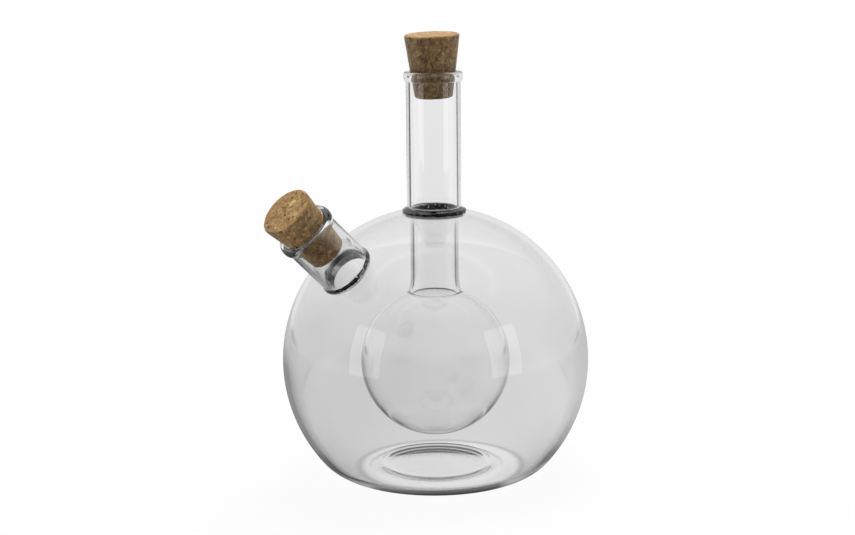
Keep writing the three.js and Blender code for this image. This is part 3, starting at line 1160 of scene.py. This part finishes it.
class BOTTLE_OT_corks(Operator):
    """Add the two tapered corks"""

    bl_idname = "bottle.add_corks"
    bl_label = "Corks"

    def execute(self, context):
        scene = context.scene
        cork = scene.bottle_cork
        plan = layout(scene)
        noise.seed_set(WARP_SEED)
        lean = Vector((-math.sin(cork.neck_lean_bearing), math.cos(cork.neck_lean_bearing), 0))
        neck = plan.neck @ Matrix.Translation((0, 0, plan.neck_rim))
        neck = neck @ Matrix.Rotation(cork.neck_lean, 4, lean)
        spout = plan.spout @ Matrix.Translation((0, 0, plan.spout_rim))
        corks = (
            ("neck", cork.neck_length, cork.neck_slim, cork.neck_wide, cork.neck_push, neck),
            ("spout", cork.spout_length, cork.spout_slim, cork.spout_wide, cork.spout_push, spout),
        )
        for name, height, slim, wide, push, place in corks:
            bm = self.tapered(cork, plan.bore - cork.gap, height, slim, wide, push)
            self.press_granules(bm, cork, place)
            if name == "spout":
                self.lay_chip(bm, cork)
            body = f"{name}_stopper"
            add_piece(body, bm, place, cork_finish(), body, f"{name}_cork")
        return {"FINISHED"}

    @staticmethod
    def tapered(cork, seat, height, slim, wide, push):
        """A cork about the mouth's rim, squeezed straight over the depth that it is pushed in."""
        taper = (wide - slim) / height
        bottom = -push - (seat - slim) / taper
        top = bottom + height
        profile = [
            point(0, bottom),
            *arc(point(slim - cork.edge, bottom + cork.edge), cork.edge, -QUARTER, 0, ROUND_STEPS),
            point(seat, -push),
            point(seat, cork.gap),
            point(seat + taper * (push + cork.gap), cork.gap),
            *arc(point(wide - cork.edge, top - cork.edge), cork.edge, 0, QUARTER, ROUND_STEPS),
            point(0, top),
        ]
        return spun(fine(profile, cork.fineness), round(2 * math.pi * wide / cork.fineness))

    @staticmethod
    def press_granules(bm, cork, place):
        """Sinks seams and pits between granules and keeps each point's tone and painted pit shade
        on the mesh.
        """
        tones = bm.verts.layers.float.new("tone")
        pits = bm.verts.layers.float.new("pit")
        bm.normal_update()
        moves = []
        for vertex in bm.verts:
            spot = (place @ vertex.co) / cork.granule
            spot += GRANULE_WARP * noise.noise_vector(spot * GRANULE_WARP_SCALE)
            gaps, cells = noise.voronoi(spot)
            tone = 0.5 + 0.5 * noise.noise(cells[0] * TONE_DRAW)
            seam = max(0, 1 - (gaps[1] - gaps[0]) / SEAM_WIDTH)
            lost = noise.noise(cells[0] * LOSS_DRAW + LOSS_OFFSET) > LOSS_LEVEL
            pit = max(0, 1 - gaps[0] / PIT_WIDTH) ** 0.5 if lost else 0
            crumb = noise.fractal(spot * CRUMB_SCALE, 1, 2, 3)
            relief = tone - 0.5 - SEAM_DEPTH * seam + CRUMB_DEPTH * crumb
            moves.append((vertex, vertex.normal * (cork.relief * relief - cork.pit * pit)))
            vertex[tones] = tone
            vertex[pits] = min(1, SEAM_SHADE * seam + PIT_SHADE * pit)
        for vertex, move in moves:
            vertex.co += move

    @staticmethod
    def lay_chip(bm, cork):
        """Makes a small oblong place in the cork's top one pale granule."""
        tones = bm.verts.layers.float["tone"]
        pits = bm.verts.layers.float["pit"]
        for vertex in bm.verts:
            spot = vertex.co.xy - CHIP_PLACE
            long = abs(spot.dot(CHIP_WAY)) < cork.chip_length / 2
            wide = abs(spot.cross(CHIP_WAY)) < cork.chip_width / 2
            if vertex.co.z > 0 and long and wide:
                vertex[tones] = CHIP_TONE
                vertex[pits] = 0


# The studio

TOP_LAMP_SIZE = (0.6, 0.6)
TOP_LAMP_PLACE = Vector((0, 0.12, 0.95))
SOFTBOX_SIZE = (0.42, 0.55)
SOFTBOX_PLACES = {
    "left_softbox": Vector((-0.75, -0.58, 0.26)),
    "right_softbox": Vector((0.75, -0.58, 0.26)),
}
FLOOR_SEGMENTS = 96
FLOOR_DROP = 0.1 * MM
SENSOR_WIDTH = 36
CLIP_START = 0.01
BOUNCES = 32
GLOSSY_BOUNCES = 16


def add_lamp(name, size, watts, place, target, shown):
    """A lamp that faces a target and lights matt faces, or if it is shown, is mirrored by glass."""
    lamp = bpy.data.lights.new(name, "AREA")
    lamp.shape = "RECTANGLE"
    lamp.size, lamp.size_y = size
    lamp.energy = watts
    made = bpy.data.objects.new(name, lamp)
    made.location = place
    made.rotation_euler = (target - place).to_track_quat("-Z", "Y").to_euler()
    made.visible_camera = False
    made.visible_glossy = shown
    made.visible_diffuse = not shown
    made.visible_transmission = False
    bpy.context.scene.collection.objects.link(made)


class BOTTLE_OT_studio(Operator):
    """Add the floor, the lamps, the white room and the camera"""

    bl_idname = "bottle.add_studio"
    bl_label = "Studio"

    def execute(self, context):
        scene = context.scene
        studio = scene.bottle_studio
        self.add_floor(scene, studio)
        middle = Vector((0, 0, scene.bottle_globe.centre))
        turn = Matrix.Rotation(studio.bearing, 4, "Z")
        overhead = turn @ TOP_LAMP_PLACE
        add_lamp("top_lamp", TOP_LAMP_SIZE, studio.top_watts, overhead, middle, False)
        for name, place in SOFTBOX_PLACES.items():
            add_lamp(name, SOFTBOX_SIZE, studio.side_watts, turn @ place, middle, True)
        scene.world = studio_world(studio)
        self.add_camera(scene, studio)
        scene.view_settings.view_transform = "Standard"
        scene.cycles.max_bounces = BOUNCES
        scene.cycles.transmission_bounces = BOUNCES
        scene.cycles.glossy_bounces = GLOSSY_BOUNCES
        scene.cycles.transparent_max_bounces = BOUNCES
        scene.cycles.caustics_reflective = False
        scene.cycles.caustics_refractive = True
        return {"FINISHED"}

    @staticmethod
    def add_floor(scene, studio):
        """A round floor, just under the foot."""
        bm = bmesh.new()
        bmesh.ops.create_circle(
            bm, cap_ends=True, radius=studio.floor_radius, segments=FLOOR_SEGMENTS
        )
        bmesh.ops.translate(bm, verts=bm.verts, vec=(0, 0, -FLOOR_DROP))
        mesh = bpy.data.meshes.new("floor")
        bm.to_mesh(mesh)
        bm.free()
        mesh.materials.append(floor_finish(studio))
        floor = bpy.data.objects.new("floor", mesh)
        scene.collection.objects.link(floor)
        floor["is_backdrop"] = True

    @staticmethod
    def add_camera(scene, studio):
        """The camera that took the photo, as far as it could be worked out."""
        camera = bpy.data.cameras.new("camera")
        camera.sensor_fit = "HORIZONTAL"
        camera.sensor_width = SENSOR_WIDTH
        camera.lens = studio.lens
        camera.clip_start = CLIP_START
        made = bpy.data.objects.new("camera", camera)
        stand = Matrix.Rotation(studio.bearing, 4, "Z")
        stand = stand @ Matrix.Translation((0, -studio.distance, studio.height))
        aim = Matrix.Rotation(studio.pan, 4, "Z") @ Matrix.Rotation(QUARTER - studio.pitch, 4, "X")
        made.matrix_world = stand @ aim @ Matrix.Rotation(studio.roll, 4, "Z")
        scene.collection.objects.link(made)
        scene.camera = made


OPERATORS = (
    BOTTLE_OT_studio,
    BOTTLE_OT_globe,
    BOTTLE_OT_bulb,
    BOTTLE_OT_welds,
    BOTTLE_OT_tubes,
    BOTTLE_OT_corks,
)


class BOTTLE_PT_sidebar(Panel):
    """Buttons that add the bottle's pieces and the studio"""

    bl_idname = "BOTTLE_PT_sidebar"
    bl_label = "Oil and vinegar bottle"
    bl_space_type = "VIEW_3D"
    bl_region_type = "UI"
    bl_category = "Bottle"

    def draw(self, context):
        for operator in OPERATORS:
            self.layout.operator(operator.bl_idname)
        for group in GROUPS:
            settings = getattr(context.scene, group)
            box = self.layout.box()
            for name in settings.bl_rna.properties.keys():
                if name not in ("rna_type", "name"):
                    box.prop(settings, name)


CLASSES = (*GROUPS.values(), *OPERATORS, BOTTLE_PT_sidebar)


def register():
    for cls in CLASSES:
        bpy.utils.register_class(cls)
    for name, group in GROUPS.items():
        setattr(bpy.types.Scene, name, PointerProperty(type=group))


def unregister():
    for name in GROUPS:
        delattr(bpy.types.Scene, name)
    for cls in reversed(CLASSES):
        bpy.utils.unregister_class(cls)


def main():
    register()
    for operator in OPERATORS:
        group, name = operator.bl_idname.split(".")
        getattr(getattr(bpy.ops, group), name)()
    boxes = {"cad": CAD_BOX, "visual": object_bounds()}
    {name: [list(corner) for corner in box] for name, box in boxes.items()}


if __name__ == "__main__":
    main()
